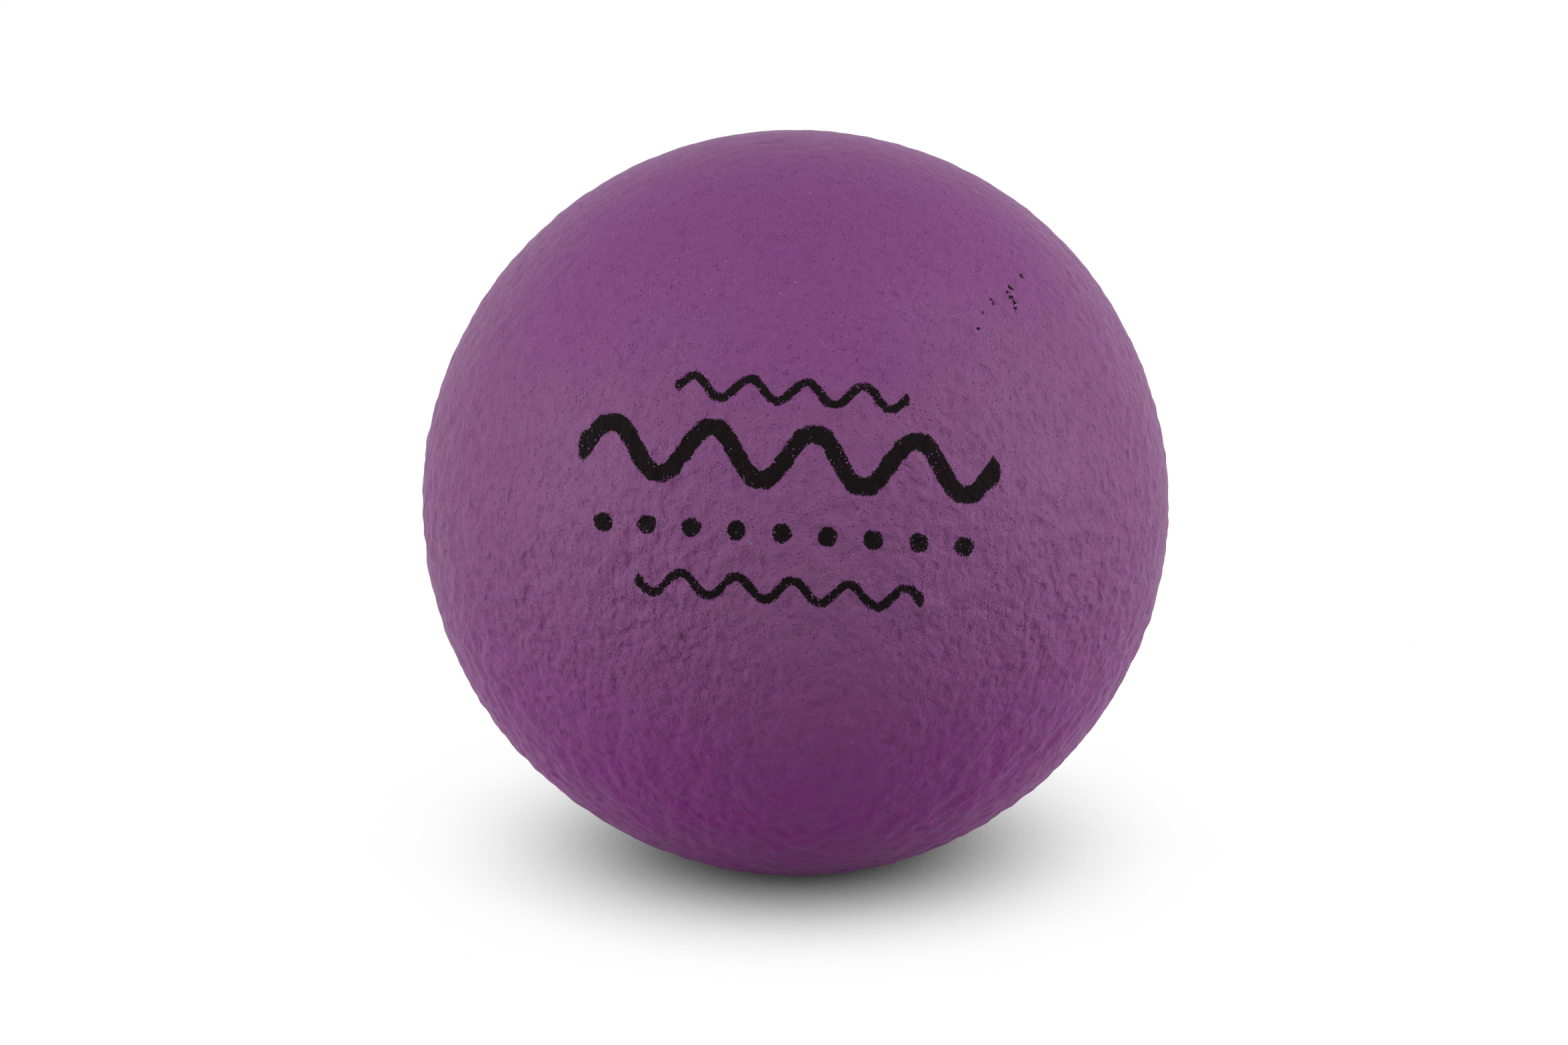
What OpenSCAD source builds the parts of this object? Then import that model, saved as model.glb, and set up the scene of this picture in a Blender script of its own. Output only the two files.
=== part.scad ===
// Coated foam ball: a soft foam core inside a sprayed polyurethane skin.
// The ball rests on the floor, where its own weight presses a small patch flat.
// Millimetres, +Z up, origin on the floor at the middle of the resting patch.

/* [Ball] */
// Outside diameter of the finished ball
ball_d = 90; // [60:1:210]
// How far the ball settles under its own weight, which sets the width of the resting patch
rest_sink = 0.4; // [0.2:0.05:1.2]

/* [Skin] */
// Wall of the sprayed skin
skin_t = 0.6; // [0.3:0.05:2]
// Gap drawn between the foam and the skin, so that each is a clean solid
bond_gap = 0.02; // [0.01:0.01:0.1]

/* [Hidden] */
$fn = 128;

// All the spheres share one centre, lowered by the depth that is pressed flat.
ball_r = ball_d / 2;
centre_z = ball_r - rest_sink;
cavity_r = ball_r - skin_t;
core_r = cavity_r - bond_gap;
// The skin keeps its wall over the patch, and the foam keeps the same gap above it.
cavity_floor_z = skin_t;
core_floor_z = skin_t + bond_gap;

// Half of the section through a ball of radius r that stands flat at height floor_z
module pressed_half_section(r, floor_z) {
    intersection() {
        translate([0, centre_z]) circle(r);
        translate([0, floor_z]) square([r, centre_z + r - floor_z]);
    }
}

// Ball of radius r about the common centre, pressed flat at height floor_z
module pressed_ball(r, floor_z) {
    rotate_extrude() pressed_half_section(r, floor_z);
}

// Soft open-cell foam, cut round, that fills the skin
module foam_core() {
    color("lemonchiffon") pressed_ball(core_r, core_floor_z);
}

// Closed skin of even wall, sprayed over the whole core
module skin() {
    color("rebeccapurple") difference() {
        pressed_ball(ball_r, 0);
        pressed_ball(cavity_r, cavity_floor_z);
    }
}

foam_core();
skin();
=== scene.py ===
"""Dresses the coated foam ball: its grained purple skin with a printed mark, and the foam inside it.

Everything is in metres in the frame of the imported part: +Z up, the floor at Z = 0 and the printed side
towards -Y. Sizes that a maker would give in millimetres are fields in millimetres.
"""

import logging
import math
from dataclasses import dataclass, field
from enum import Enum

import bpy
import numpy as np
from mathutils import Matrix, Vector, noise

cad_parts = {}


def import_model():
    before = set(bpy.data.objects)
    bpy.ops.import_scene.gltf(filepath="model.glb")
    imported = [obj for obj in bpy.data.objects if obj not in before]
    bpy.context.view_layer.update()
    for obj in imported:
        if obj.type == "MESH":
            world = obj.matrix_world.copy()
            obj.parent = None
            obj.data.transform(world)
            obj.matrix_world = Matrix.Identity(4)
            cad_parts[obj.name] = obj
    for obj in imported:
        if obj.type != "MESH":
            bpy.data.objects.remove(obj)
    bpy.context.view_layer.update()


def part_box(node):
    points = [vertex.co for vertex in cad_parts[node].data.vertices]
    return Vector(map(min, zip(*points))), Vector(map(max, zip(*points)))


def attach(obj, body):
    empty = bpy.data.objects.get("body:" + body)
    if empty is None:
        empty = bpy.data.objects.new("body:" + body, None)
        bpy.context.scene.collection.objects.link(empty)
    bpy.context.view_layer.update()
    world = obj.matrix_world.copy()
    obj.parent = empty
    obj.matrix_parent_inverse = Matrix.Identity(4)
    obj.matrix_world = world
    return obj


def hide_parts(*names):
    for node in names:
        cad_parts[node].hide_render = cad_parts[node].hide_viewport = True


MM = 0.001
BODY = "root"
BAKE_MAP = "OFBake"
PEEL_ATTRIBUTE = "peel"
COARSE_ATTRIBUTE = "coarse"
# The wet coat sags before it sets, so its bumps are this much longer down the ball than across it.
SAG = 1.15
# A noise texture runs from 0 to 1 about this middle.
NOISE_MIDDLE = 0.5
# Directions that agree when they are rounded to one part in this many are one vertex.
WELD_STEPS = 1e6
# How far apart two sets of bumps are read along the three axes, for each 1 between their numbers.
SET_STEP = (1.0, 1.7, 2.3)

Colour = tuple[float, float, float]
Socket = bpy.types.NodeSocket
Value = Socket | float | tuple[float, ...]

log = logging.getLogger("foam_ball")


class Graph:
    """Adds nodes to one node tree and joins them, so that a finish reads as a list of steps."""

    def __init__(self, tree: bpy.types.NodeTree) -> None:
        """Takes the tree that the nodes go into."""
        self.tree = tree

    def feed(self, socket: Socket, value: Value) -> None:
        """Joins a value to a socket by a link, or sets it there if it is a constant.

        Args:
            socket: The input to feed.
            value: Another node's output, a number, or a tuple for a vector or a colour.
        """
        if isinstance(value, bpy.types.NodeSocket):
            self.tree.links.new(value, socket)
        elif socket.type == "RGBA":
            socket.default_value = (*value[:3], 1.0)
        else:
            socket.default_value = value

    def node(self, kind: str, inputs: dict[str, Value] | None = None, **settings: object) -> bpy.types.Node:
        """Adds one node.

        Args:
            kind: Blender's name for the node's type.
            inputs: Values for its inputs, by name.
            settings: Values for its own properties.

        Returns:
            The new node.
        """
        made = self.tree.nodes.new(kind)
        for name, value in settings.items():
            setattr(made, name, value)
        for name, value in (inputs or {}).items():
            self.feed(made.inputs[name], value)
        return made

    def math(self, operation: str, *values: Value) -> Socket:
        """Works out one step of arithmetic.

        Args:
            operation: Blender's name for the step.
            values: The numbers that it takes, in order.

        Returns:
            The result's socket.
        """
        made = self.node("ShaderNodeMath", operation=operation)
        for socket, value in zip(made.inputs, values):
            self.feed(socket, value)
        return made.outputs[0]

    def vector(self, operation: str, *values: Value) -> bpy.types.Node:
        """Works out one step of vector arithmetic.

        Args:
            operation: Blender's name for the step.
            values: The vectors that it takes, in order.

        Returns:
            The node, because some steps give a number and others a vector.
        """
        made = self.node("ShaderNodeVectorMath", operation=operation)
        for socket, value in zip(made.inputs, values):
            self.feed(socket, value)
        return made

    def attribute(self, name: str) -> Socket:
        """A number that the mesh holds at each vertex."""
        return self.node("ShaderNodeAttribute", attribute_name=name).outputs["Fac"]

    def scaled(self, arrow: Socket, factor: Value) -> Socket:
        """Makes a vector longer or shorter.

        Args:
            arrow: The vector.
            factor: How many times as long it gets.

        Returns:
            The result's socket.
        """
        made = self.node("ShaderNodeVectorMath", {"Scale": factor}, operation="SCALE")
        self.feed(made.inputs[0], arrow)
        return made.outputs["Vector"]

    def shrunk(self, place: Socket, size: Value) -> Socket:
        """A place divided by a size, so that a pattern of unit size comes out that large."""
        return self.scaled(place, self.math("DIVIDE", 1.0, size))

    def soft_noise(self, place: Socket, width: Value, detail: float = 0.0) -> bpy.types.NodeOutputs:
        """Adds a smooth noise.

        Args:
            place: Where it is read.
            width: About how wide its bumps are.
            detail: How many finer layers lie on them.

        Returns:
            The noise's outputs, a number and a colour.
        """
        inputs = {"Vector": self.shrunk(place, width), "Scale": 1.0, "Detail": detail}
        return self.node("ShaderNodeTexNoise", inputs).outputs

    def largest(self, values: list[Socket]) -> Socket:
        """Picks the largest of some numbers.

        Args:
            values: The numbers' sockets.

        Returns:
            The result's socket.
        """
        found = values[0]
        for value in values[1:]:
            found = self.math("MAXIMUM", found, value)
        return found

    def raised(self, height: Socket) -> Socket:
        """The normal of a surface that is raised by a height in millimetres."""
        bump = self.node("ShaderNodeBump", {"Strength": 1.0, "Distance": MM, "Height": height})
        return bump.outputs["Normal"]

    def ramp(
        self, value: Socket, low: Value, high: Value, to_low: Value = 0.0, to_high: Value = 1.0
    ) -> Socket:
        """Eases a value from one range into another, held at both ends.

        Args:
            value: The number to map.
            low: Where the ramp starts.
            high: Where it ends.
            to_low: The result at its start.
            to_high: The result at its end.

        Returns:
            The result's socket.
        """
        made = self.node("ShaderNodeMapRange", interpolation_type="SMOOTHSTEP")
        names = ("Value", "From Min", "From Max", "To Min", "To Max")
        for name, given in zip(names, (value, low, high, to_low, to_high)):
            self.feed(made.inputs[name], given)
        return made.outputs["Result"]

    def blend(self, share: Value, first: Value, second: Value) -> Socket:
        """Mixes two colours.

        Args:
            share: How much of the second colour shows, from 0 to 1.
            first: The colour at 0.
            second: The colour at 1.

        Returns:
            The mixed colour's socket.
        """
        made = self.node("ShaderNodeMix", data_type="RGBA")
        for name, value in (("Factor_Float", share), ("A_Color", first), ("B_Color", second)):
            self.feed(next(s for s in made.inputs if s.identifier == name), value)
        return next(s for s in made.outputs if s.type == "RGBA")


class SocketKind(Enum):
    """What a node group's socket carries."""

    NUMBER = "NodeSocketFloat"
    VECTOR = "NodeSocketVector"


def numbers(*names: str) -> dict[str, SocketKind]:
    """The sockets of a node group that carry numbers, by name."""
    return {name: SocketKind.NUMBER for name in names}


class Effect:
    """A shader node group that is drawn once and placed wherever a finish needs it."""

    title = ""
    inputs: dict[str, SocketKind] = {}
    outputs: dict[str, SocketKind] = {}

    def __init__(self) -> None:
        """Makes the group with its sockets and draws its nodes."""
        self.tree = bpy.data.node_groups.new(self.title, "ShaderNodeTree")
        for way, sockets in (("INPUT", self.inputs), ("OUTPUT", self.outputs)):
            for name, kind in sockets.items():
                self.tree.interface.new_socket(name=name, in_out=way, socket_type=kind.value)
        graph = Graph(self.tree)
        given = graph.node("NodeGroupInput").outputs
        result = graph.node("NodeGroupOutput").inputs
        for name, made in self.draw(graph, given).items():
            graph.feed(result[name], made)

    def draw(self, graph: Graph, given: bpy.types.NodeOutputs) -> dict[str, Socket]:
        """Adds the group's own nodes.

        Args:
            graph: The group's tree.
            given: The sockets that hold the group's inputs.

        Returns:
            What each output of the group is fed with, by name.
        """
        raise NotImplementedError

    def place(self, graph: Graph, **values: Value) -> bpy.types.NodeOutputs:
        """Places the group in a material.

        Args:
            graph: The material's tree.
            values: The group's inputs, by name.

        Returns:
            The placed group's outputs.
        """
        made = graph.node("ShaderNodeGroup", node_tree=self.tree)
        for name, value in values.items():
            graph.feed(made.inputs[name], value)
        return made.outputs


class ScatteredDots(Effect):
    """Small dots such as pores and specks, thick in some patches and missing in others.

    sizes gives the smallest dot as a share of the radius, and how much chance adds to it. fray_width and
    fray_reach say, in radii, what makes a dot ragged, and fade is how softly a patch of dots ends.
    """

    title = "scattered_dots"
    inputs = {
        "Place": SocketKind.VECTOR,
        **numbers("Spacing", "Radius", "Softness", "Ragged", "Patch", "Cover"),
    }
    outputs = numbers("Mask")
    sizes = (0.35, 0.85)
    fray_width = 2.0
    fray_reach = 4.0
    fade = 0.12

    def draw(self, graph: Graph, given: bpy.types.NodeOutputs) -> dict[str, Socket]:
        """Draws one dot about each random point, most of them small, and clears the bare patches.

        Args:
            graph: The group's tree.
            given: The sockets that hold the group's inputs.

        Returns:
            The mask, which is 1 inside a dot and 0 between dots.
        """
        radius = given["Radius"]
        frayed = graph.soft_noise(given["Place"], graph.math("MULTIPLY", radius, self.fray_width))
        stray = graph.vector("SUBTRACT", frayed["Color"], (NOISE_MIDDLE,) * 3).outputs["Vector"]
        reach = graph.math("MULTIPLY", graph.math("MULTIPLY", radius, given["Ragged"]), self.fray_reach)
        place = graph.vector("ADD", given["Place"], graph.scaled(stray, reach)).outputs["Vector"]
        cells = graph.node(
            "ShaderNodeTexVoronoi", {"Vector": graph.shrunk(place, given["Spacing"]), "Scale": 1.0}
        )
        away = graph.math("MULTIPLY", cells.outputs["Distance"], given["Spacing"])
        chance = graph.node("ShaderNodeSeparateColor", {"Color": cells.outputs["Color"]}).outputs["Red"]
        smallest, spread = self.sizes
        grown = graph.math("MULTIPLY", graph.math("MULTIPLY", chance, chance), spread)
        own_radius = graph.math("MULTIPLY", radius, graph.math("ADD", smallest, grown))
        rim = graph.math("MULTIPLY", own_radius, graph.math("SUBTRACT", 1.0, given["Softness"]))
        dot = graph.ramp(away, own_radius, rim)
        drift = graph.soft_noise(given["Place"], given["Patch"], detail=1.0)["Fac"]
        bare = graph.math("SUBTRACT", 1.0, given["Cover"])
        low = graph.math("SUBTRACT", bare, self.fade)
        high = graph.math("ADD", bare, self.fade)
        return {"Mask": graph.math("MULTIPLY", dot, graph.ramp(drift, low, high))}


class Mottle(Effect):
    """Cloudy patches that run from 0 to 1, for a coat that dried unevenly.

    reach is how far from its middle the noise has to be for 0 or 1 at a contrast of 1.
    """

    title = "mottle"
    inputs = {"Place": SocketKind.VECTOR, **numbers("Patch", "Contrast")}
    outputs = numbers("Share")
    reach = 0.25

    def draw(self, graph: Graph, given: bpy.types.NodeOutputs) -> dict[str, Socket]:
        """Stretches a soft noise about its middle.

        Args:
            graph: The group's tree.
            given: The sockets that hold the group's inputs.

        Returns:
            The share, from 0 to 1.
        """
        cloud = graph.soft_noise(given["Place"], given["Patch"], detail=2.0)["Fac"]
        reach = graph.math("DIVIDE", self.reach, given["Contrast"])
        low = graph.math("SUBTRACT", NOISE_MIDDLE, reach)
        high = graph.math("ADD", NOISE_MIDDLE, reach)
        return {"Share": graph.ramp(cloud, low, high)}


class Grain(Effect):
    """Rounded bumps about one width across, as a height that gain brings to about -1 to 1."""

    title = "grain"
    inputs = {"Place": SocketKind.VECTOR, **numbers("Width")}
    outputs = numbers("Height")
    gain = 3.0

    def draw(self, graph: Graph, given: bpy.types.NodeOutputs) -> dict[str, Socket]:
        """Centres a noise of one octave on zero.

        Args:
            graph: The group's tree.
            given: The sockets that hold the group's inputs.

        Returns:
            The height, from about -1 to 1.
        """
        rounded = graph.soft_noise(given["Place"], given["Width"])["Fac"]
        return {"Height": graph.math("MULTIPLY", graph.math("SUBTRACT", rounded, NOISE_MIDDLE), self.gain)}


class Hollows(Effect):
    """Irregular hollows about one width across in a level surface, from 0 on it to 1 at their bottom.

    dry_brim is how high the noise has to be for a hollow where none of the surface is covered, brim_fall is
    how far that comes down where all of it is, and drop is from the brim to the bottom.
    """

    title = "hollows"
    inputs = {"Place": SocketKind.VECTOR, **numbers("Width", "Cover")}
    outputs = numbers("Depth")
    dry_brim = 0.8
    brim_fall = 0.6
    drop = 0.35

    def draw(self, graph: Graph, given: bpy.types.NodeOutputs) -> dict[str, Socket]:
        """Keeps the high part of a noise, and squares it for a soft brim.

        Args:
            graph: The group's tree.
            given: The sockets that hold the group's inputs.

        Returns:
            The depth, from 0 to 1.
        """
        cells = graph.soft_noise(given["Place"], given["Width"])["Fac"]
        brim = graph.math("SUBTRACT", self.dry_brim, graph.math("MULTIPLY", given["Cover"], self.brim_fall))
        depth = graph.ramp(cells, brim, graph.math("ADD", brim, self.drop))
        return {"Depth": graph.math("MULTIPLY", depth, depth)}


class WaveLine(Effect):
    """How far a place on the print's plane lies from a wavy line with round ends."""

    title = "wave_line"
    inputs = numbers("Across", "Up", "Length", "Pitch", "Swing")
    outputs = numbers("Distance")

    def draw(self, graph: Graph, given: bpy.types.NodeOutputs) -> dict[str, Socket]:
        """Drops a square from the place to the wave, and to its end past the ends.

        Args:
            graph: The group's tree.
            given: The sockets that hold the group's inputs.

        Returns:
            The distance, in the inputs' own unit.
        """
        held = held_between(graph, given["Across"], graph.math("MULTIPLY", given["Length"], 0.5))
        rate = graph.math("DIVIDE", math.tau, given["Pitch"])
        turn = graph.math("MULTIPLY", held, rate)
        crest = graph.math("MULTIPLY", graph.math("SINE", turn), given["Swing"])
        swung = graph.math("MULTIPLY", graph.math("COSINE", turn), given["Swing"])
        slope = graph.math("MULTIPLY", swung, rate)
        lean = graph.math("SQRT", graph.math("ADD", 1.0, graph.math("MULTIPLY", slope, slope)))
        above = graph.math("DIVIDE", graph.math("SUBTRACT", given["Up"], crest), lean)
        beyond = graph.math("SUBTRACT", given["Across"], held)
        return {"Distance": hypotenuse(graph, beyond, above)}


class DotRow(Effect):
    """How far a place on the print's plane lies from the nearest of a row of points."""

    title = "dot_row"
    inputs = numbers("Across", "Up", "Length", "Pitch")
    outputs = numbers("Distance")

    def draw(self, graph: Graph, given: bpy.types.NodeOutputs) -> dict[str, Socket]:
        """Rounds the place to the nearest point of the row that is there.

        Args:
            graph: The group's tree.
            given: The sockets that hold the group's inputs.

        Returns:
            The distance, in the inputs' own unit.
        """
        held = held_between(graph, given["Across"], graph.math("MULTIPLY", given["Length"], 0.5))
        middled = graph.math("ADD", held, graph.math("MULTIPLY", given["Pitch"], 0.5))
        nearest = graph.math("SNAP", middled, given["Pitch"])
        aside = graph.math("SUBTRACT", given["Across"], nearest)
        return {"Distance": hypotenuse(graph, aside, given["Up"])}


def held_between(graph: Graph, value: Value, reach: Socket) -> Socket:
    """A number kept within one reach to either side of zero.

    Args:
        graph: The tree that the steps go into.
        value: The number.
        reach: The most that it may be off zero.

    Returns:
        The kept number's socket.
    """
    low = graph.math("MULTIPLY", reach, -1.0)
    return graph.math("MINIMUM", graph.math("MAXIMUM", value, low), reach)


def hypotenuse(graph: Graph, first: Value, second: Value) -> Socket:
    """The long side of a right triangle.

    Args:
        graph: The tree that the steps go into.
        first: One short side.
        second: The other.

    Returns:
        The long side's socket.
    """
    squares = [graph.math("MULTIPLY", side, side) for side in (first, second)]
    return graph.math("SQRT", graph.math("ADD", *squares))


@dataclass
class Effects:
    """The node groups that the finishes share."""

    dots: ScatteredDots = field(default_factory=ScatteredDots)
    mottle: Mottle = field(default_factory=Mottle)
    grain: Grain = field(default_factory=Grain)
    hollows: Hollows = field(default_factory=Hollows)
    wave: WaveLine = field(default_factory=WaveLine)
    dot_row: DotRow = field(default_factory=DotRow)


def new_material(name: str) -> tuple[bpy.types.Material, Graph]:
    """Makes a material with nothing in it but its output.

    Args:
        name: What the material is called.

    Returns:
        The material, and the graph that its nodes go into.
    """
    material = bpy.data.materials.new(name)
    material.use_nodes = True
    material.node_tree.nodes.clear()
    return material, Graph(material.node_tree)


def finish_surface(graph: Graph, shader: Socket) -> None:
    """Joins a shader to the material's output."""
    graph.node("ShaderNodeOutputMaterial", {"Surface": shader})


def place_in_mm(graph: Graph) -> Socket:
    """The place on the piece, in millimetres of the part's frame."""
    here = graph.node("ShaderNodeTexCoord").outputs["Object"]
    return graph.shrunk(here, MM)


@dataclass(frozen=True)
class Ball:
    """The round form that the CAD gives: where its centre is and how large it is."""

    centre: Vector
    radius: float
    floor: float

    @classmethod
    def of_node(cls, node: str) -> "Ball":
        """Reads the ball from a CAD node's box.

        Args:
            node: The node's name.

        Returns:
            The ball that the node is, pressed flat at its lowest height.
        """
        low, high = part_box(node)
        radius = max(-low.x, high.x, -low.y, high.y)
        return cls(Vector((0, 0, high.z - radius)), radius, low.z)


@dataclass(frozen=True)
class ProductCamera:
    """The camera at the photograph's viewing angle, which frames the ball as the photograph does."""

    frame_px: tuple[int, int] = (2352, 1568)
    ball_px: tuple[float, float] = (1193.3, 754.0)
    ball_radius_px: float = 559.2
    lens_mm: float = 85.0
    sensor_mm: float = 36.0
    elevation_deg: float = 14.0
    clip: tuple[float, float] = (10 * MM, 100.0)

    @property
    def focal_px(self) -> float:
        """The lens in pixels of the photograph."""
        return self.frame_px[0] * self.lens_mm / self.sensor_mm

    def axes(self) -> tuple[Vector, Vector, Vector]:
        """Works out how the camera is turned while it looks at the ball's centre.

        Returns:
            Its right, up and back directions.
        """
        tilt = math.radians(self.elevation_deg)
        back = Vector((0, -math.cos(tilt), math.sin(tilt)))
        right = Vector((1, 0, 0))
        return right, back.cross(right), back

    def place(self, ball: Ball) -> Vector:
        """Where the camera stands, so that the ball's outline has its photographed radius."""
        spread = self.ball_radius_px / self.focal_px
        return ball.centre + self.axes()[2] * ball.radius * math.sqrt(1 + 1 / spread**2)

    def ray(self, pixel: tuple[float, float]) -> Vector:
        """Looks through a pixel of the photograph.

        Args:
            pixel: The pixel, across and down.

        Returns:
            The direction from the camera through it.
        """
        right, up, back = self.axes()
        across = (pixel[0] - self.ball_px[0]) / self.focal_px
        down = (pixel[1] - self.ball_px[1]) / self.focal_px
        return (right * across - up * down - back).normalized()

    def on_ball(self, pixel: tuple[float, float], ball: Ball) -> Vector:
        """The outward direction at the point of the ball that a pixel shows.

        Args:
            pixel: A pixel of the photograph, on the ball.
            ball: The ball.

        Returns:
            A unit vector from the ball's centre.
        """
        way = self.ray(pixel)
        start = self.place(ball) - ball.centre
        along = start.dot(way)
        reach = math.sqrt(along**2 - start.length_squared + ball.radius**2)
        return (start - way * (along + reach)).normalized()

    def build(self, ball: Ball) -> bpy.types.Object:
        """Makes the camera and gives it to the scene.

        Args:
            ball: The ball that it looks at.

        Returns:
            The camera.
        """
        data = bpy.data.cameras.new("product_camera")
        data.lens = self.lens_mm
        data.sensor_width = self.sensor_mm
        data.clip_start, data.clip_end = self.clip
        camera = bpy.data.objects.new("product_camera", data)
        bpy.context.scene.collection.objects.link(camera)
        camera.location = self.place(ball)
        middle = (self.frame_px[0] / 2, self.frame_px[1] / 2)
        camera.rotation_euler = self.ray(middle).to_track_quat("-Z", "Y").to_euler()
        bpy.context.scene.camera = camera
        return camera


class CubeFace(Enum):
    """The faces of the cube that a ball is blown up from, as outward, across and up directions."""

    FRONT = ((0, -1, 0), (1, 0, 0), (0, 0, 1))
    RIGHT = ((1, 0, 0), (0, 1, 0), (0, 0, 1))
    BACK = ((0, 1, 0), (-1, 0, 0), (0, 0, 1))
    LEFT = ((-1, 0, 0), (0, -1, 0), (0, 0, 1))
    TOP = ((0, 0, 1), (1, 0, 0), (0, 1, 0))
    BOTTOM = ((0, 0, -1), (1, 0, 0), (0, -1, 0))


@dataclass
class RoundMesh:
    """A ball blown up from a cube whose faces are grids, so that its quads are nearly even."""

    steps: int
    directions: np.ndarray = field(init=False)
    quads: np.ndarray = field(init=False)
    charts: np.ndarray = field(init=False)

    def __post_init__(self) -> None:
        """Lays the six grids and joins their shared edges."""
        count = self.steps + 1
        share = np.linspace(0.0, 1.0, count)
        swing = np.tan((share - 0.5) * math.pi / 2)
        row, column = np.meshgrid(np.arange(self.steps), np.arange(self.steps), indexing="ij")
        first = (row * count + column).ravel()
        corners = np.stack([first, first + 1, first + count + 1, first + count], 1)
        grids, charts, quads = [], [], []
        for index, face in enumerate(CubeFace):
            outward, across, up = (np.array(axis, float) for axis in face.value)
            grid = outward + swing[None, :, None] * across + swing[:, None, None] * up
            grids.append(grid.reshape(-1, 3))
            quads.append(corners + index * count * count)
            flat = np.stack(np.meshgrid(share, share), -1).reshape(-1, 2)
            charts.append(flat[corners].reshape(-1, 2))
        points = np.concatenate(grids)
        points /= np.linalg.norm(points, axis=1)[:, None]
        rounded = np.round(points * WELD_STEPS).astype(np.int64)
        _, kept, shared = np.unique(rounded, axis=0, return_index=True, return_inverse=True)
        self.directions = points[kept]
        self.quads = shared.reshape(-1)[np.concatenate(quads)]
        self.charts = np.stack(charts)


@dataclass(frozen=True)
class Atlas:
    """Where the six grids of a ball lie on the map that its finish is baked through."""

    columns: int
    low: float
    high: float
    margin: float = 0.003

    def lay(self, charts: np.ndarray) -> np.ndarray:
        """Moves each grid to its own cell.

        Args:
            charts: The corners of each face's quads on its own grid, from 0 to 1.

        Returns:
            The same corners on the map.
        """
        rows = len(charts) // self.columns
        cell = np.array([1 / self.columns, (self.high - self.low) / rows])
        laid = []
        for index, chart in enumerate(charts):
            corner = np.array([index % self.columns, index // self.columns]) * cell + [0, self.low]
            laid.append(corner + self.margin + chart * (cell - 2 * self.margin))
        return np.concatenate(laid)


class BumpSet(Enum):
    """The sets of random bumps, each with the number that tells it from the others."""

    PEEL = 3.1
    FOAM_SWELL = 5.3
    ROUGH_PATCHES = 12.3
    LUMPS = 21.7
    SWELL = 31.3


def bumps(points: list[Vector], width: float, which: BumpSet) -> np.ndarray:
    """Smooth random bumps about zero.

    Args:
        points: Where to read them.
        width: About how wide one bump is, in the points' own units.
        which: The set of bumps.

    Returns:
        The height at each point, from about -1 to 1.
    """
    shift = Vector(tuple(step * which.value for step in SET_STEP))
    return np.array([noise.noise(point / width + shift) for point in points])


def mesh_object(
    name: str, points: np.ndarray, quads: np.ndarray, corners: np.ndarray
) -> bpy.types.Object:
    """Makes a smooth mesh object with a bake map.

    Args:
        name: What the piece is called.
        points: The vertices, in metres.
        quads: The vertices of each face.
        corners: The place of each face corner on the bake map.

    Returns:
        The new object, in the scene.
    """
    mesh = bpy.data.meshes.new(name)
    mesh.from_pydata(points.tolist(), [], quads.tolist())
    mesh.uv_layers.new(name=BAKE_MAP).data.foreach_set("uv", corners.astype(np.float32).ravel())
    mesh.polygons.foreach_set("use_smooth", np.ones(len(quads), bool))
    mesh.update()
    piece = bpy.data.objects.new(name, mesh)
    bpy.context.scene.collection.objects.link(piece)
    return piece


@dataclass(frozen=True)
class Strewn:
    """Small marks strewn over a surface, in millimetres.

    spacing is from one mark to the next, radius is a large mark's, softness is the share of it that fades
    out, ragged is how far it is from round, patch is how wide the patches are that hold marks, and cover is
    how much of the surface these take up.
    """

    spacing: float
    radius: float
    softness: float
    ragged: float
    patch: float
    cover: float

    def mask(self, graph: Graph, effects: Effects, place: Socket) -> Socket:
        """Draws the marks.

        Args:
            graph: The material's tree.
            effects: The shared node groups.
            place: The place in millimetres.

        Returns:
            A socket that is 1 inside a mark and 0 between marks.
        """
        marks = effects.dots.place(
            graph,
            Place=place,
            Spacing=self.spacing,
            Radius=self.radius,
            Softness=self.softness,
            Ragged=self.ragged,
            Patch=self.patch,
            Cover=self.cover,
        )
        return marks["Mask"]


@dataclass(frozen=True)
class Specks:
    """Strewn marks of one colour, which show at most a share of it."""

    marks: Strewn
    colour: Colour
    share: float

    def over(self, graph: Graph, mask: Socket, under: Value) -> Socket:
        """Lays the marks over a colour.

        Args:
            graph: The material's tree.
            mask: Where the marks lie, from 0 to 1.
            under: The colour that they lie on.

        Returns:
            The socket of the mixed colour.
        """
        return graph.blend(graph.math("MULTIPLY", mask, self.share), under, self.colour)


@dataclass(frozen=True)
class Dents:
    """Irregular hollows: their width and depth in millimetres, the share they cover, and how much painted
    shade darkens them.
    """

    width: float
    cover: float
    depth: float
    shade: float = 0.0

    def share(self, graph: Graph, effects: Effects, place: Socket) -> Socket:
        """Draws the hollows.

        Args:
            graph: The material's tree.
            effects: The shared node groups.
            place: The place in millimetres.

        Returns:
            A socket that runs from 0 on the level surface to 1 at the bottom of a hollow.
        """
        return effects.hollows.place(graph, Place=place, Width=self.width, Cover=self.cover)["Depth"]


@dataclass(frozen=True)
class Cloud:
    """Soft patches of another colour, patch millimetres wide, which show at most a share of it."""

    colour: Colour
    patch: float
    contrast: float
    share: float

    def over(self, graph: Graph, effects: Effects, place: Socket, under: Value) -> Socket:
        """Lays the patches over a colour.

        Args:
            graph: The material's tree.
            effects: The shared node groups.
            place: The place in millimetres.
            under: The colour that they lie on.

        Returns:
            The socket of the mixed colour.
        """
        drift = effects.mottle.place(graph, Place=place, Patch=self.patch, Contrast=self.contrast)["Share"]
        return graph.blend(graph.math("MULTIPLY", drift, self.share), under, self.colour)


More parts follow.
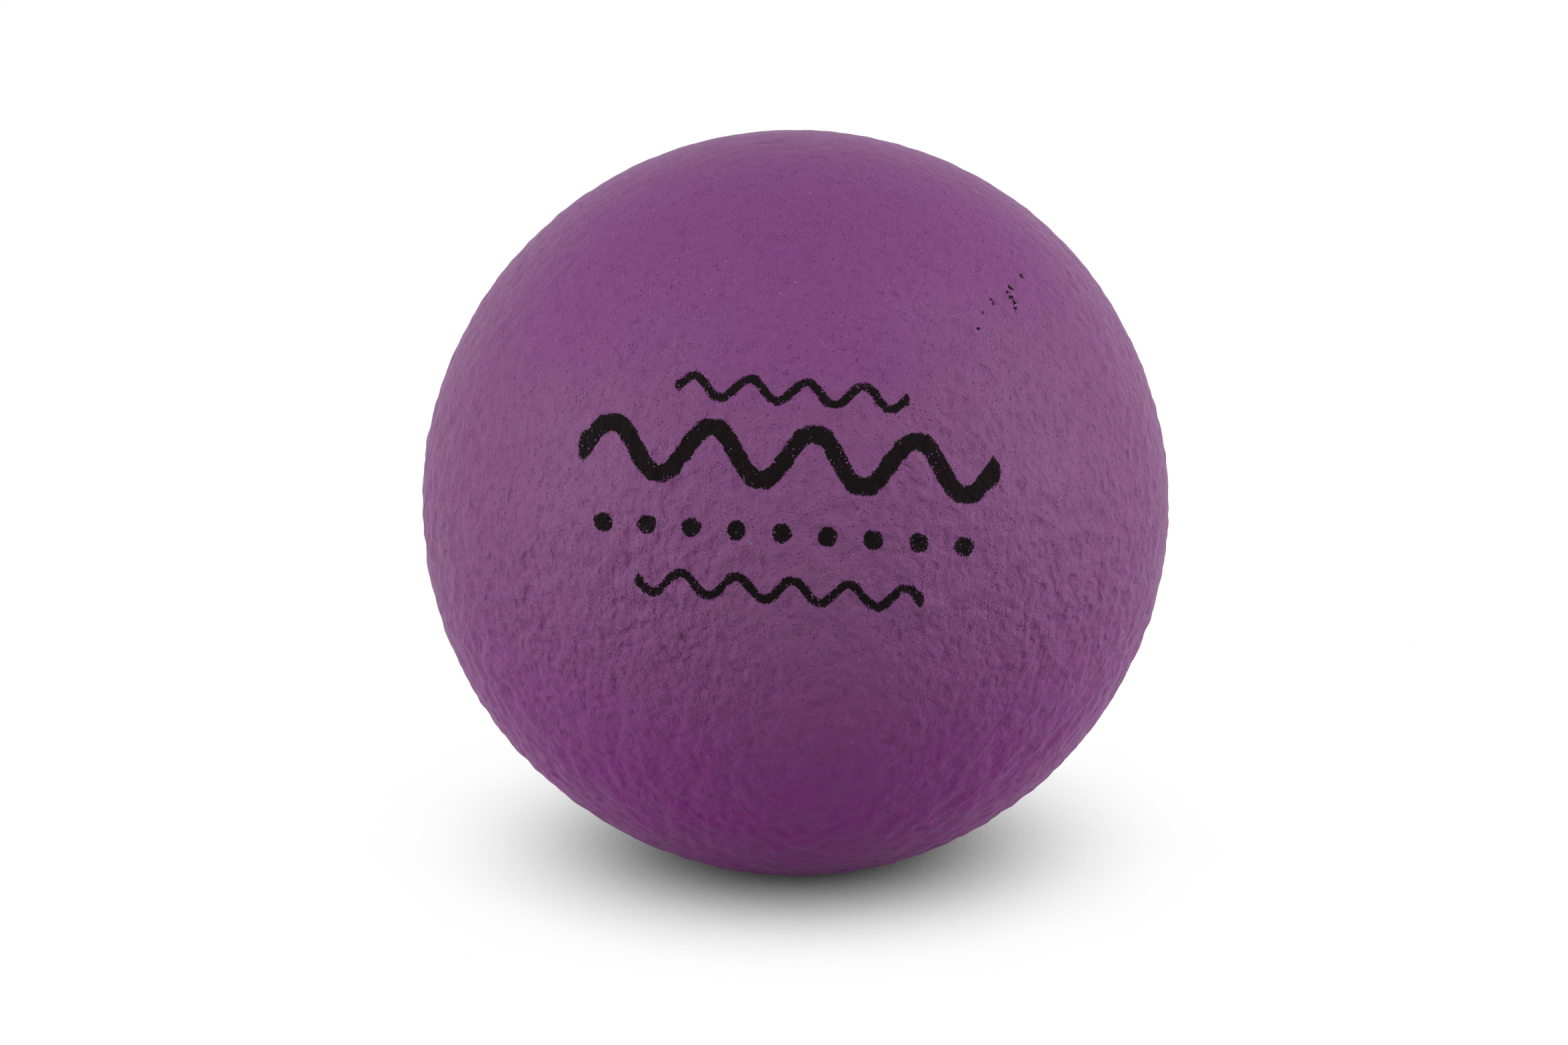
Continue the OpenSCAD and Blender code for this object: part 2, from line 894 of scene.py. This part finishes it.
@dataclass(frozen=True)
class SkinFields:
    """What the skin's colour, print and relief are worked out from, as sockets of its material."""

    place: Socket
    peel: Socket
    coarse: Socket
    flow: Socket
    unfilled: Socket
    fine: Socket
    micro: Socket
    dimples: Socket
    pinholes: Socket


class Motif(Enum):
    """What one row of the printed mark is drawn with."""

    WAVE = "wave"
    DOTS = "dots"


@dataclass(frozen=True)
class PrintRow:
    """One row of the printed mark, in millimetres on the print's plane.

    height is from the mark's middle up to the row, line is the width of a stroke or a dot, pitch is from
    one wave or dot to the next, and swing is how far a wave goes up and down.
    """

    motif: Motif
    height: float
    length: float
    line: float
    pitch: float
    swing: float = 0.0


@dataclass(frozen=True)
class Fleck:
    """A stray fleck of ink, at a pixel of the photograph and with a radius in millimetres."""

    middle_px: tuple[float, float]
    radius: float


@dataclass(frozen=True)
class PrintedMark:
    """The black mark that is screened on the front of the ball, with the flecks that went astray.

    mesh_mm is the pitch of the screen's threads and how far they bite into the ink. The worn patches are
    where the ink took badly and has voids, and pinhole_bite is how much of it a pinhole takes.
    """

    camera: ProductCamera
    ball: Ball
    middle_px: tuple[float, float] = (1177.0, 740.0)
    tilt_deg: float = -3.5
    rows: tuple[PrintRow, ...] = (
        PrintRow(Motif.WAVE, 11.2, 25.0, 1.0, 6.25, 1.1),
        PrintRow(Motif.WAVE, 4.0, 45.0, 2.0, 11.25, 2.7),
        PrintRow(Motif.DOTS, -4.4, 40.0, 2.2, 5.0),
        PrintRow(Motif.WAVE, -10.6, 31.0, 1.0, 6.2, 1.1),
    )
    flecks: tuple[Fleck, ...] = (
        Fleck((1532, 415), 0.25),
        Fleck((1515, 432), 0.34),
        Fleck((1511, 439), 0.22),
        Fleck((1516, 447), 0.28),
        Fleck((1520, 454), 0.24),
        Fleck((1522, 463), 0.30),
        Fleck((1486, 450), 0.20),
        Fleck((1490, 454), 0.22),
        Fleck((1467, 493), 0.16),
        Fleck((1474, 470), 0.14),
    )
    ragged_mm: float = 0.12
    fleck_ragged_mm: float = 0.30
    edge_mm: float = 0.05
    mesh_mm: tuple[float, float] = (0.36, 0.09)
    voids: Dents = Dents(0.24, 0.40, 2.0)
    worn_patch_mm: float = 2.6
    worn_contrast: float = 1.6
    pinhole_bite: float = 0.4

    def inked(self, graph: Graph, effects: Effects, at: SkinFields) -> Socket:
        """Where ink lies on the skin.

        Args:
            graph: The material's tree.
            effects: The shared node groups.
            at: The skin's fields.

        Returns:
            A socket that is 1 on the ink and 0 off it.
        """
        ragged = graph.math("MULTIPLY", graph.math("ADD", at.micro, at.fine), self.ragged_mm)
        worn = effects.mottle.place(
            graph, Place=at.place, Patch=self.worn_patch_mm, Contrast=self.worn_contrast
        )["Share"]
        voids = graph.math("MULTIPLY", worn, self.voids.share(graph, effects, at.place))
        missed = graph.math(
            "ADD",
            graph.math("MULTIPLY", voids, self.voids.depth),
            graph.math("MULTIPLY", at.pinholes, self.pinhole_bite),
        )
        mark = graph.math("ADD", self.mark_depth(graph, effects, at.place), ragged)
        mark = graph.math("SUBTRACT", mark, missed)
        frayed = graph.math("MULTIPLY", at.micro, self.fleck_ragged_mm)
        flecks = graph.math("ADD", self.fleck_depth(graph, at.place), frayed)
        return graph.ramp(graph.math("MAXIMUM", mark, flecks), -self.edge_mm, self.edge_mm)

    def mark_depth(self, graph: Graph, effects: Effects, place: Socket) -> Socket:
        """How far a place lies inside the mark, in millimetres, below 0 outside it.

        Args:
            graph: The material's tree.
            effects: The shared node groups.
            place: The place in millimetres.

        Returns:
            The depth's socket.
        """
        outward = self.camera.on_ball(self.middle_px, self.ball)
        level = Vector((0, 0, 1)).cross(outward).normalized()
        across = Matrix.Rotation(math.radians(self.tilt_deg), 3, outward) @ level
        up = outward.cross(across)
        held = graph.vector("SUBTRACT", place, tuple(self.ball.centre / MM)).outputs["Vector"]
        along, above, facing = (
            graph.vector("DOT_PRODUCT", held, tuple(axis)).outputs["Value"]
            for axis in (across, up, outward)
        )
        rows = graph.largest([self.row_depth(graph, effects, row, along, above) for row in self.rows])
        pitch, bite = self.mesh_mm
        turns = [graph.math("MULTIPLY", way, math.tau / pitch) for way in (along, above)]
        threads = [graph.math("SINE", turn) for turn in turns]
        woven = graph.math("MULTIPLY", graph.math("MULTIPLY", *threads), bite)
        return graph.math("MINIMUM", graph.math("ADD", rows, woven), facing)

    def row_depth(
        self, graph: Graph, effects: Effects, row: PrintRow, along: Socket, above: Socket
    ) -> Socket:
        """How far a place lies inside one row's ink.

        Args:
            graph: The material's tree.
            effects: The shared node groups.
            row: The row.
            along: The place along the print's plane.
            above: The place up the print's plane.

        Returns:
            The depth's socket.
        """
        up = graph.math("SUBTRACT", above, row.height)
        shape = {"Across": along, "Up": up, "Length": row.length, "Pitch": row.pitch}
        if row.motif is Motif.WAVE:
            away = effects.wave.place(graph, Swing=row.swing, **shape)["Distance"]
        else:
            away = effects.dot_row.place(graph, **shape)["Distance"]
        return graph.math("SUBTRACT", row.line / 2, away)

    def fleck_depth(self, graph: Graph, place: Socket) -> Socket:
        """How far a place lies inside one of the stray flecks.

        Args:
            graph: The material's tree.
            place: The place in millimetres.

        Returns:
            The depth's socket.
        """
        depths = []
        for fleck in self.flecks:
            spot = self.ball.centre + self.camera.on_ball(fleck.middle_px, self.ball) * self.ball.radius
            away = graph.vector("DISTANCE", place, tuple(spot / MM)).outputs["Value"]
            depths.append(graph.math("SUBTRACT", fleck.radius, away))
        return graph.largest(depths)


@dataclass(frozen=True)
class SkinFinish:
    """Matte sprayed polyurethane with an orange-peel grain, dimples and pinholes, and the ink on it.

    low_band_mm gives the heights between which the coat runs from thin to thick, and flow_fill is the share
    of its finest grain that is filled low down. Low down the colour is also deeper and more saturated:
    painted shading. The coat is paler and greyer where the peel is coarse, which coarse_sheen_range gives
    the start and
    the end of: painted sheen. dip_range gives the heights of the peel, with dip_fine_share of the fine grain
    added, between which its hollows get darker with painted shade. gloss is a thin clear film on the coat,
    which the ink doesn't have. A size in millimetres with a second number gives a width and a height.
    """

    colour: Colour = (0.258, 0.072, 0.253)
    # Painted sheen: the colour is paler and greyer where the peel is coarse.
    coarse_sheen_colour: Colour = (0.258, 0.097, 0.244)
    coarse_sheen_range: tuple[float, float] = (0.3, 0.8)
    # Painted shading: a deeper, more saturated colour towards the bottom.
    painted_low_shade_colour: Colour = (0.258, 0.025, 0.245)
    low_band_mm: tuple[float, float] = (47.0, 9.0)
    flow_fill: float = 0.62
    clouds: tuple[Cloud, ...] = (
        Cloud((0.230, 0.078, 0.250), 6.0, 1.4, 0.30),
        Cloud((0.272, 0.078, 0.236), 1.3, 1.4, 0.15),
    )
    # Painted shade: the peel's hollows and the dimples are darkened towards this colour.
    dip_shade_colour: Colour = (0.145, 0.020, 0.145)
    dip_range: tuple[float, float] = (-0.05, -0.8)
    dip_shade: float = 0.16
    dip_fine_share: float = 0.5
    dimples: Dents = Dents(1.1, 0.6, 0.14, 0.16)
    # The pinholes' dark colour is painted shade in the pits.
    pinholes: Specks = Specks(Strewn(0.42, 0.115, 0.5, 0.4, 5.0, 0.64), (0.065, 0.012, 0.056), 0.65)
    pinhole_depth_mm: float = 0.08
    dark_specks: Specks = Specks(Strewn(0.25, 0.10, 0.6, 0.5, 4.0, 0.56), (0.120, 0.020, 0.085), 0.62)
    # Partly pale specks and partly painted glints on the grain.
    pale_specks_and_glints: Specks = Specks(Strewn(0.45, 0.15, 0.6, 0.6, 3.5, 0.58), (0.345, 0.150, 0.335), 0.65)
    red_specks: Specks = Specks(Strewn(1.0, 0.17, 0.6, 0.4, 4.0, 0.55), (0.254, 0.049, 0.124), 0.5)
    lint: Specks = Specks(Strewn(1.6, 0.14, 0.6, 0.8, 9.0, 0.5), (0.420, 0.270, 0.400), 0.7)
    ink_colour: Colour = (0.010, 0.0066, 0.0075)
    roughness: float = 0.43
    rubbed: float = 0.04
    ink_roughness: float = 0.6
    shine: float = 0.03
    gloss: float = 0.14
    gloss_roughness: float = 0.42
    fine_peel_mm: tuple[float, float] = (0.85, 0.085)
    micro_grain_mm: tuple[float, float] = (0.24, 0.045)

    def material(self, effects: Effects, mark: PrintedMark) -> bpy.types.Material:
        """Makes the skin's material.

        Args:
            effects: The shared node groups.
            mark: The print that the skin carries.

        Returns:
            The material.
        """
        material, graph = new_material("sprayed_skin")
        at = self.fields(graph, effects)
        inked = mark.inked(graph, effects, at)
        colour = graph.blend(inked, self.coat_colour(graph, effects, at), self.ink_colour)
        fluff = self.lint.marks.mask(graph, effects, at.place)
        rubbed = graph.math("SUBTRACT", self.roughness, graph.math("MULTIPLY", at.fine, self.rubbed))
        shader = graph.node(
            "ShaderNodeBsdfPrincipled",
            {
                "Base Color": self.lint.over(graph, fluff, colour),
                "Roughness": graph.ramp(inked, 0.0, 1.0, rubbed, self.ink_roughness),
                "Specular IOR Level": self.shine,
                "Coat Weight": graph.ramp(inked, 0.0, 1.0, self.gloss, 0.0),
                "Coat Roughness": self.gloss_roughness,
                "Normal": self.relief(graph, at),
            },
        )
        finish_surface(graph, shader.outputs["BSDF"])
        return material

    def fields(self, graph: Graph, effects: Effects) -> SkinFields:
        """Draws the fields that the colour, the print and the relief share.

        Args:
            graph: The material's tree.
            effects: The shared node groups.

        Returns:
            The fields.
        """
        place = place_in_mm(graph)
        upright = graph.node("ShaderNodeSeparateXYZ", {"Vector": place}).outputs["Z"]
        # From 0 high up to 1 low down: it fills the fine grain and sets the painted shading there.
        flow = graph.ramp(upright, *self.low_band_mm)
        filled = graph.math("MULTIPLY", flow, self.flow_fill)
        unfilled = graph.math("SUBTRACT", 1.0, filled)
        pinholes = self.pinholes.marks.mask(graph, effects, place)
        sagged = graph.vector("MULTIPLY", place, (1.0, 1.0, 1 / SAG)).outputs["Vector"]
        return SkinFields(
            place=place,
            peel=graph.attribute(PEEL_ATTRIBUTE),
            coarse=graph.attribute(COARSE_ATTRIBUTE),
            flow=flow,
            unfilled=unfilled,
            fine=effects.grain.place(graph, Place=sagged, Width=self.fine_peel_mm[0])["Height"],
            micro=effects.grain.place(graph, Place=place, Width=self.micro_grain_mm[0])["Height"],
            dimples=self.dimples.share(graph, effects, sagged),
            pinholes=graph.math("MULTIPLY", pinholes, unfilled),
        )

    def coat_colour(self, graph: Graph, effects: Effects, at: SkinFields) -> Socket:
        """The coat's colour, with clouds and specks, painted shade low down and in its hollows, and painted
        sheen.

        Args:
            graph: The material's tree.
            effects: The shared node groups.
            at: The skin's fields.

        Returns:
            The colour's socket.
        """
        # Painted sheen: paler and greyer where the peel is coarse.
        coarse_sheen = graph.ramp(at.coarse, *self.coarse_sheen_range)
        colour = graph.blend(coarse_sheen, self.colour, self.coarse_sheen_colour)
        # Painted shading: the colour deepens towards the bottom.
        colour = graph.blend(at.flow, colour, self.painted_low_shade_colour)
        for cloud in self.clouds:
            colour = cloud.over(graph, effects, at.place, colour)
        # Painted shade: darker in the peel's hollows and in the dimples.
        between = graph.math("ADD", at.peel, graph.math("MULTIPLY", at.fine, self.dip_fine_share))
        for hollow in (
            graph.ramp(between, *self.dip_range, 0.0, self.dip_shade),
            graph.math("MULTIPLY", at.dimples, self.dimples.shade),
        ):
            colour = graph.blend(hollow, colour, self.dip_shade_colour)
        # The pale specks are partly painted glints.
        for specks in (self.dark_specks, self.pale_specks_and_glints):
            mask = graph.math("MULTIPLY", specks.marks.mask(graph, effects, at.place), at.unfilled)
            colour = specks.over(graph, mask, colour)
        colour = self.red_specks.over(graph, self.red_specks.marks.mask(graph, effects, at.place), colour)
        # The pinholes' dark colour is painted shade in the pits.
        return self.pinholes.over(graph, at.pinholes, colour)

    def relief(self, graph: Graph, at: SkinFields) -> Socket:
        """The grain that is too fine for the mesh.

        Args:
            graph: The material's tree.
            at: The skin's fields.

        Returns:
            The normal's socket.
        """
        height = graph.math("MULTIPLY", at.fine, self.fine_peel_mm[1])
        height = graph.math("SUBTRACT", height, graph.math("MULTIPLY", at.dimples, self.dimples.depth))
        height = graph.math("MULTIPLY", height, at.coarse)
        height = graph.math("ADD", height, graph.math("MULTIPLY", at.micro, self.micro_grain_mm[1]))
        height = graph.math("SUBTRACT", height, graph.math("MULTIPLY", at.pinholes, self.pinhole_depth_mm))
        return graph.raised(graph.math("MULTIPLY", height, at.unfilled))


@dataclass(frozen=True)
class FoamFinish:
    """Soft open-cell foam in a pale cream, with its pores in shade.

    A size in millimetres with a second number gives a width and a height.
    """

    colour: Colour = (0.76, 0.66, 0.42)
    aged: Cloud = Cloud((0.68, 0.55, 0.30), 14.0, 1.2, 1.0)
    pores: Specks = Specks(Strewn(0.8, 0.46, 0.6, 0.3, 6.0, 0.75), (0.30, 0.22, 0.10), 0.8)
    pore_depth_mm: float = 0.2
    roughness: float = 0.95
    strand_mm: tuple[float, float] = (0.25, 0.03)

    def material(self, effects: Effects) -> bpy.types.Material:
        """Makes the foam's material.

        Args:
            effects: The shared node groups.

        Returns:
            The material.
        """
        material, graph = new_material("open_cell_foam")
        place = place_in_mm(graph)
        pores = self.pores.marks.mask(graph, effects, place)
        strands = effects.grain.place(graph, Place=place, Width=self.strand_mm[0])["Height"]
        colour = self.aged.over(graph, effects, place, self.colour)
        colour = self.pores.over(graph, pores, colour)
        height = graph.math("MULTIPLY", strands, self.strand_mm[1])
        height = graph.math("SUBTRACT", height, graph.math("MULTIPLY", pores, self.pore_depth_mm))
        shader = graph.node(
            "ShaderNodeBsdfPrincipled",
            {"Base Color": colour, "Roughness": self.roughness, "Normal": graph.raised(height)},
        )
        finish_surface(graph, shader.outputs["BSDF"])
        return material


@dataclass(frozen=True)
class CoatPatch:
    """A part of the skin where the coat is smoother or rougher, about the place that a pixel shows.

    change is the share by which its bumps are higher there, below 0 where they are lower.
    """

    middle_px: tuple[float, float]
    reach_deg: float
    change: float


@dataclass
class Skin:
    """The closed sprayed skin: an outside with real orange-peel bumps, and a plain inside against the foam.

    A size in millimetres with a second number gives the width and the height of a set of bumps. A patch's
    change has faded out at patch_end times its reach, and starts to fade one reach before that. map_split
    is where the bake map passes from the outside to the inside.
    """

    ball: Ball
    core: Ball
    camera: ProductCamera
    patches: tuple[CoatPatch, ...] = (
        CoatPatch((1193, 240), 46.0, -0.7),
        CoatPatch((900, 440), 24.0, -0.2),
        CoatPatch((800, 1000), 26.0, 0.3),
        CoatPatch((1570, 1010), 24.0, 0.25),
    )
    patch_end: float = 1.5
    map_split: float = 0.95
    bond_gap_mm: float = 0.02
    outside_steps: int = 125
    inside_steps: int = 28
    lump_mm: tuple[float, float] = (34.0, 0.22)
    swell_mm: tuple[float, float] = (6.0, 0.10)
    peel_mm: tuple[float, float] = (1.6, 0.230)
    rough_patch_mm: float = 16.0
    rough_patch_share: float = 0.4
    piece: bpy.types.Object = field(init=False)

    def relief(self, directions: np.ndarray) -> tuple[np.ndarray, np.ndarray, np.ndarray]:
        """The bumps of the outside.

        Args:
            directions: Unit vectors from the ball's centre.

        Returns:
            How far the surface stands out in millimetres, the height of the peel alone, from about -1 to 1,
            and how coarse the peel is there, about 1.
        """
        places = [Vector(direction) * (self.ball.radius / MM) for direction in directions]
        coarse = 1.0 + self.rough_patch_share * bumps(places, self.rough_patch_mm, BumpSet.ROUGH_PATCHES)
        for patch in self.patches:
            middle = np.array(self.camera.on_ball(patch.middle_px, self.ball))
            off = np.degrees(np.arccos(np.clip(directions @ middle, -1.0, 1.0)))
            coarse *= 1.0 + patch.change * np.clip(self.patch_end - off / patch.reach_deg, 0.0, 1.0)
        sagged = [Vector((place.x, place.y, place.z / SAG)) for place in places]
        peel = coarse * bumps(sagged, self.peel_mm[0], BumpSet.PEEL)
        out = bumps(places, self.lump_mm[0], BumpSet.LUMPS) * self.lump_mm[1]
        out += coarse * bumps(places, self.swell_mm[0], BumpSet.SWELL) * self.swell_mm[1]
        out += peel * self.peel_mm[1]
        return out, peel, coarse

    def build(self) -> bpy.types.Object:
        """Makes the skin's mesh.

        Returns:
            The skin.
        """
        outside = RoundMesh(self.outside_steps)
        inside = RoundMesh(self.inside_steps)
        relief, peel, coarse = self.relief(outside.directions)
        centre = np.array(self.ball.centre)
        outer = centre + outside.directions * (self.ball.radius + relief * MM)[:, None]
        outer[:, 2] = np.maximum(outer[:, 2], self.ball.floor)
        gap = self.bond_gap_mm * MM
        inner = centre + inside.directions * (self.core.radius + gap)
        inner[:, 2] = np.maximum(inner[:, 2], self.core.floor - gap)
        quads = np.concatenate([outside.quads, inside.quads[:, ::-1] + len(outer)])
        turned = inside.charts.reshape(len(CubeFace), -1, 4, 2)[:, :, ::-1].reshape(inside.charts.shape)
        coat_map = Atlas(columns=3, low=0.0, high=self.map_split).lay(outside.charts)
        lining_map = Atlas(columns=6, low=self.map_split, high=1.0).lay(turned)
        corners = np.concatenate([coat_map, lining_map])
        self.piece = mesh_object("grained_skin", np.concatenate([outer, inner]), quads, corners)
        for name, values in ((PEEL_ATTRIBUTE, peel), (COARSE_ATTRIBUTE, coarse)):
            padded = np.concatenate([values, np.zeros(len(inner))]).astype(np.float32)
            self.piece.data.attributes.new(name, "FLOAT", "POINT").data.foreach_set("value", padded)
        return self.piece

    def dress(self, material: bpy.types.Material) -> None:
        """Gives the skin its finish and its place on the part.

        Args:
            material: The finish.
        """
        self.piece.data.materials.append(material)
        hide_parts("skin")
        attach(self.piece, BODY)


@dataclass
class FoamCore:
    """The soft foam ball inside the skin, with its open cells as real hollows.

    A cell reaches cell_reach of its width from its middle, and swell_mm is the width and the height of the
    soft bumps.
    """

    ball: Ball
    steps: int = 72
    cell_mm: float = 1.9
    cell_depth_mm: float = 0.45
    cell_reach: float = 0.6
    swell_mm: tuple[float, float] = (9.0, 0.12)
    piece: bpy.types.Object = field(init=False)

    def build(self) -> bpy.types.Object:
        """Makes the foam's mesh, cut back from the ball by its cells.

        Returns:
            The foam core.
        """
        form = RoundMesh(self.steps)
        places = [Vector(direction) * (self.ball.radius / MM) for direction in form.directions]
        near = np.array([noise.voronoi(place / self.cell_mm)[0][0] for place in places])
        hollow = np.clip(1.0 - near / self.cell_reach, 0.0, 1.0) * self.cell_depth_mm
        hollow += (1.0 + bumps(places, self.swell_mm[0], BumpSet.FOAM_SWELL)) * self.swell_mm[1] / 2
        points = np.array(self.ball.centre) + form.directions * (self.ball.radius - hollow * MM)[:, None]
        points[:, 2] = np.maximum(points[:, 2], self.ball.floor)
        corners = Atlas(columns=3, low=0.0, high=1.0).lay(form.charts)
        self.piece = mesh_object("open_cell_core", points, form.quads, corners)
        return self.piece

    def dress(self, material: bpy.types.Material) -> None:
        """Gives the foam its finish and its place on the part.

        Args:
            material: The finish.
        """
        self.piece.data.materials.append(material)
        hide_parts("foam_core")
        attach(self.piece, BODY)


@dataclass(frozen=True)
class Softbox:
    """A square lamp with a white cloth front, aimed at the ball, which may be kept out of reflections.

    distance and width are in metres, and an azimuth of 0 is straight in front of the ball.
    """

    name: str
    azimuth_deg: float
    elevation_deg: float
    distance: float
    width: float
    watts: float
    mirrored: bool = True

    def build(self, aim: Vector) -> bpy.types.Object:
        """Makes the lamp.

        Args:
            aim: What it is turned towards.

        Returns:
            The lamp.
        """
        data = bpy.data.lights.new(self.name, "AREA")
        data.shape = "SQUARE"
        data.size = self.width
        data.energy = self.watts
        lamp = bpy.data.objects.new(self.name, data)
        bpy.context.scene.collection.objects.link(lamp)
        turn, rise = math.radians(self.azimuth_deg), math.radians(self.elevation_deg)
        way = Vector((math.sin(turn) * math.cos(rise), -math.cos(turn) * math.cos(rise), math.sin(rise)))
        lamp.location = aim + way * self.distance
        lamp.rotation_euler = (-way).to_track_quat("-Z", "Y").to_euler()
        lamp.visible_glossy = self.mirrored
        return lamp


@dataclass(frozen=True)
class Studio:
    """A white floor with the ball's soft shadow painted on it from ambient occlusion, white all round, and
    soft lamps.

    surround is how strongly the white all round sheds light. shade gives how open to the sky the floor is
    where its painted shadow is darkest and where it ends. The sky that the painted shadow is drawn from
    leans towards the front by shade_lean_deg, which lightens the shadow in front of the ball, and
    shade_reach is how far off the ball still covers it, in metres.
    """

    softboxes: tuple[Softbox, ...] = (
        Softbox("left_softbox", -68.0, 8.0, 1.2, 0.9, 12.2),
        Softbox("right_softbox", 80.0, 8.0, 1.2, 0.9, 11.7),
        Softbox("left_high_softbox", -78.0, 57.0, 1.2, 0.8, 3.0),
        Softbox("right_high_softbox", 76.0, 50.0, 1.2, 0.8, 4.2),
        Softbox("front_softbox", 0.0, 8.0, 1.2, 0.8, 1.8),
        Softbox("left_back_softbox", -168.0, 12.0, 1.2, 0.8, 2.5, mirrored=False),
        Softbox("right_back_softbox", 168.0, 12.0, 1.2, 0.8, 2.5, mirrored=False),
    )
    surround: float = 0.04
    floor_grey: float = 0.4
    floor_radius: float = 8.0
    shade: tuple[float, float] = (0.02, 0.72)
    shade_lean_deg: float = 13.0
    shade_reach: float = 1.0
    shade_rays: int = 16

    def seen(self, graph: Graph) -> Socket:
        """Tells a surface that is looked at from one that only sheds light.

        Args:
            graph: The material's tree.

        Returns:
            A socket that is 1 for the camera and in a reflection or through glass, and 0 otherwise.
        """
        path = graph.node("ShaderNodeLightPath").outputs
        looked = graph.math("MAXIMUM", path["Is Camera Ray"], path["Is Glossy Ray"])
        return graph.math("MAXIMUM", looked, path["Is Transmission Ray"])

    def floor_material(self) -> bpy.types.Material:
        """Makes the floor's material: white with a painted shadow of the ball to look at, and grey to shed
        light.

        Returns:
            The material.
        """
        material, graph = new_material("white_floor")
        lean = math.radians(self.shade_lean_deg)
        sky = graph.node("ShaderNodeCombineXYZ", {"X": 0.0, "Y": -math.sin(lean), "Z": math.cos(lean)})
        # Painted shadow: ambient occlusion, not the lamps, sets how brightly the floor glows for the camera.
        cover = graph.node(
            "ShaderNodeAmbientOcclusion",
            {"Distance": self.shade_reach, "Normal": sky.outputs["Vector"]},
            samples=self.shade_rays,
        )
        painted_shadow_glow = graph.node("ShaderNodeEmission", {"Strength": graph.ramp(cover.outputs["AO"], *self.shade)})
        sheds = graph.node("ShaderNodeBsdfDiffuse", {"Color": (self.floor_grey,) * 3})
        mixed = graph.node("ShaderNodeMixShader", {"Fac": self.seen(graph)})
        graph.feed(mixed.inputs[1], sheds.outputs[0])
        graph.feed(mixed.inputs[2], painted_shadow_glow.outputs[0])
        finish_surface(graph, mixed.outputs[0])
        return material

    def build_floor(self) -> bpy.types.Object:
        """Makes the floor.

        Returns:
            The floor.
        """
        reach = self.floor_radius
        mesh = bpy.data.meshes.new("floor")
        corners = [(-reach, -reach, 0), (reach, -reach, 0), (reach, reach, 0), (-reach, reach, 0)]
        mesh.from_pydata(corners, [], [(0, 1, 2, 3)])
        floor = bpy.data.objects.new("floor", mesh)
        bpy.context.scene.collection.objects.link(floor)
        mesh.materials.append(self.floor_material())
        return floor

    def build_surround(self) -> bpy.types.World:
        """Makes the white surround.

        Returns:
            The world.
        """
        world = bpy.data.worlds.new("white_surround")
        world.use_nodes = True
        world.node_tree.nodes.clear()
        graph = Graph(world.node_tree)
        strength = graph.ramp(self.seen(graph), 0.0, 1.0, self.surround, 1.0)
        light = graph.node("ShaderNodeBackground", {"Color": (1.0, 1.0, 1.0), "Strength": strength})
        graph.node("ShaderNodeOutputWorld", {"Surface": light.outputs[0]})
        bpy.context.scene.world = world
        return world

    def build(self, aim: Vector) -> None:
        """Makes the whole studio.

        Args:
            aim: What the lamps are turned towards.
        """
        bpy.context.scene.view_settings.view_transform = "Standard"
        self.build_floor()
        self.build_surround()
        for softbox in self.softboxes:
            softbox.build(aim)


def main() -> None:
    """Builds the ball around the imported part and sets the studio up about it."""
    logging.basicConfig(level=logging.INFO, format="%(name)s: %(message)s")
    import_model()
    ball = Ball.of_node("skin")
    core = Ball.of_node("foam_core")
    camera = ProductCamera()
    camera.build(ball)
    effects = Effects()

    skin = Skin(ball, core, camera)
    piece = skin.build()
    skin.dress(SkinFinish().material(effects, PrintedMark(camera, ball)))
    log.info("%s: %d faces", piece.name, len(piece.data.polygons))

    foam = FoamCore(core)
    piece = foam.build()
    foam.dress(FoamFinish().material(effects))
    log.info("%s: %d faces", piece.name, len(piece.data.polygons))

    Studio().build(ball.centre)


if __name__ == "__main__":
    main()
